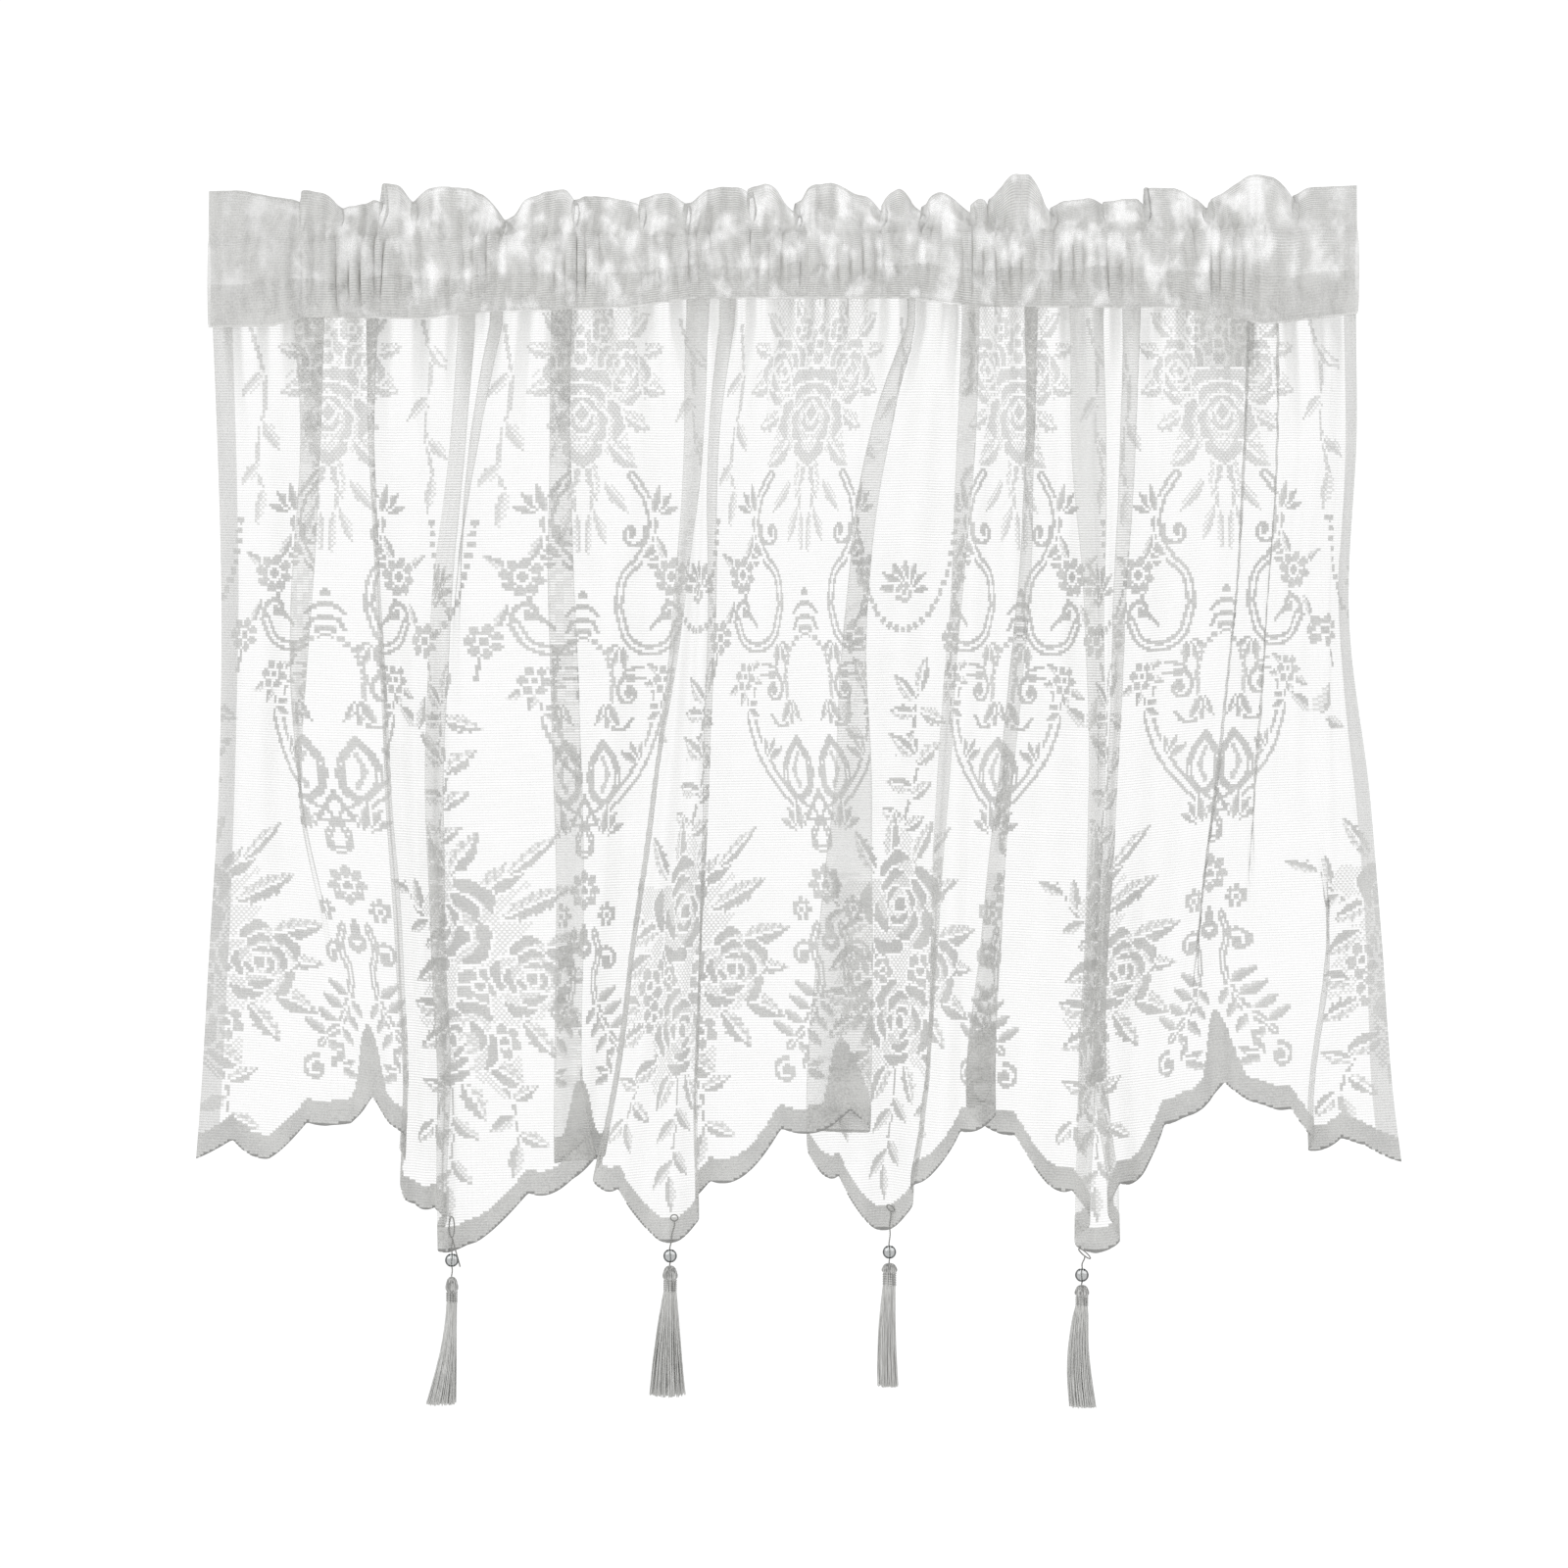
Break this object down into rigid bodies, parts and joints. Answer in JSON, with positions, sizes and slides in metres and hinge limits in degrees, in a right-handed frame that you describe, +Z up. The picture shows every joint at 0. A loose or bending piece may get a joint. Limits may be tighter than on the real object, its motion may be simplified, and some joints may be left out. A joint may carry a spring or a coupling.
{
  "type": "lace valance",
  "caption": "Sheer white lace valance with a ruffled rod-pocket heading, soft uneven folds, a scalloped hem and beaded silk tassels at its points.",
  "frame": {"origin": "on the axis of the rod pocket, at the middle of the valance's width", "axes": "+X across the window to the right as seen from the room, +Y towards the window, +Z up"},
  "size_m": [0.6887, 0.0463, 0.7035],
  "materials": {
    "lace": "fine white polyester net lace, matt",
    "tape": "plain white tape cloth",
    "silk": "white satin-lustre tassel yarn",
    "thread": "white sewing thread",
    "bead": "clear polished glass"
  },
  "bodies": {
    "root": {"skirt": "lace", "heading": "lace", "flap": "tape", "tassel_1": "silk", "tassel_2": "silk", "tassel_3": "silk", "tassel_4": "silk", "bead_1": "bead", "bead_2": "bead", "bead_3": "bead", "bead_4": "bead", "thread_1": "thread", "thread_2": "thread", "thread_3": "thread", "thread_4": "thread"}
  },
  "joints": []
}
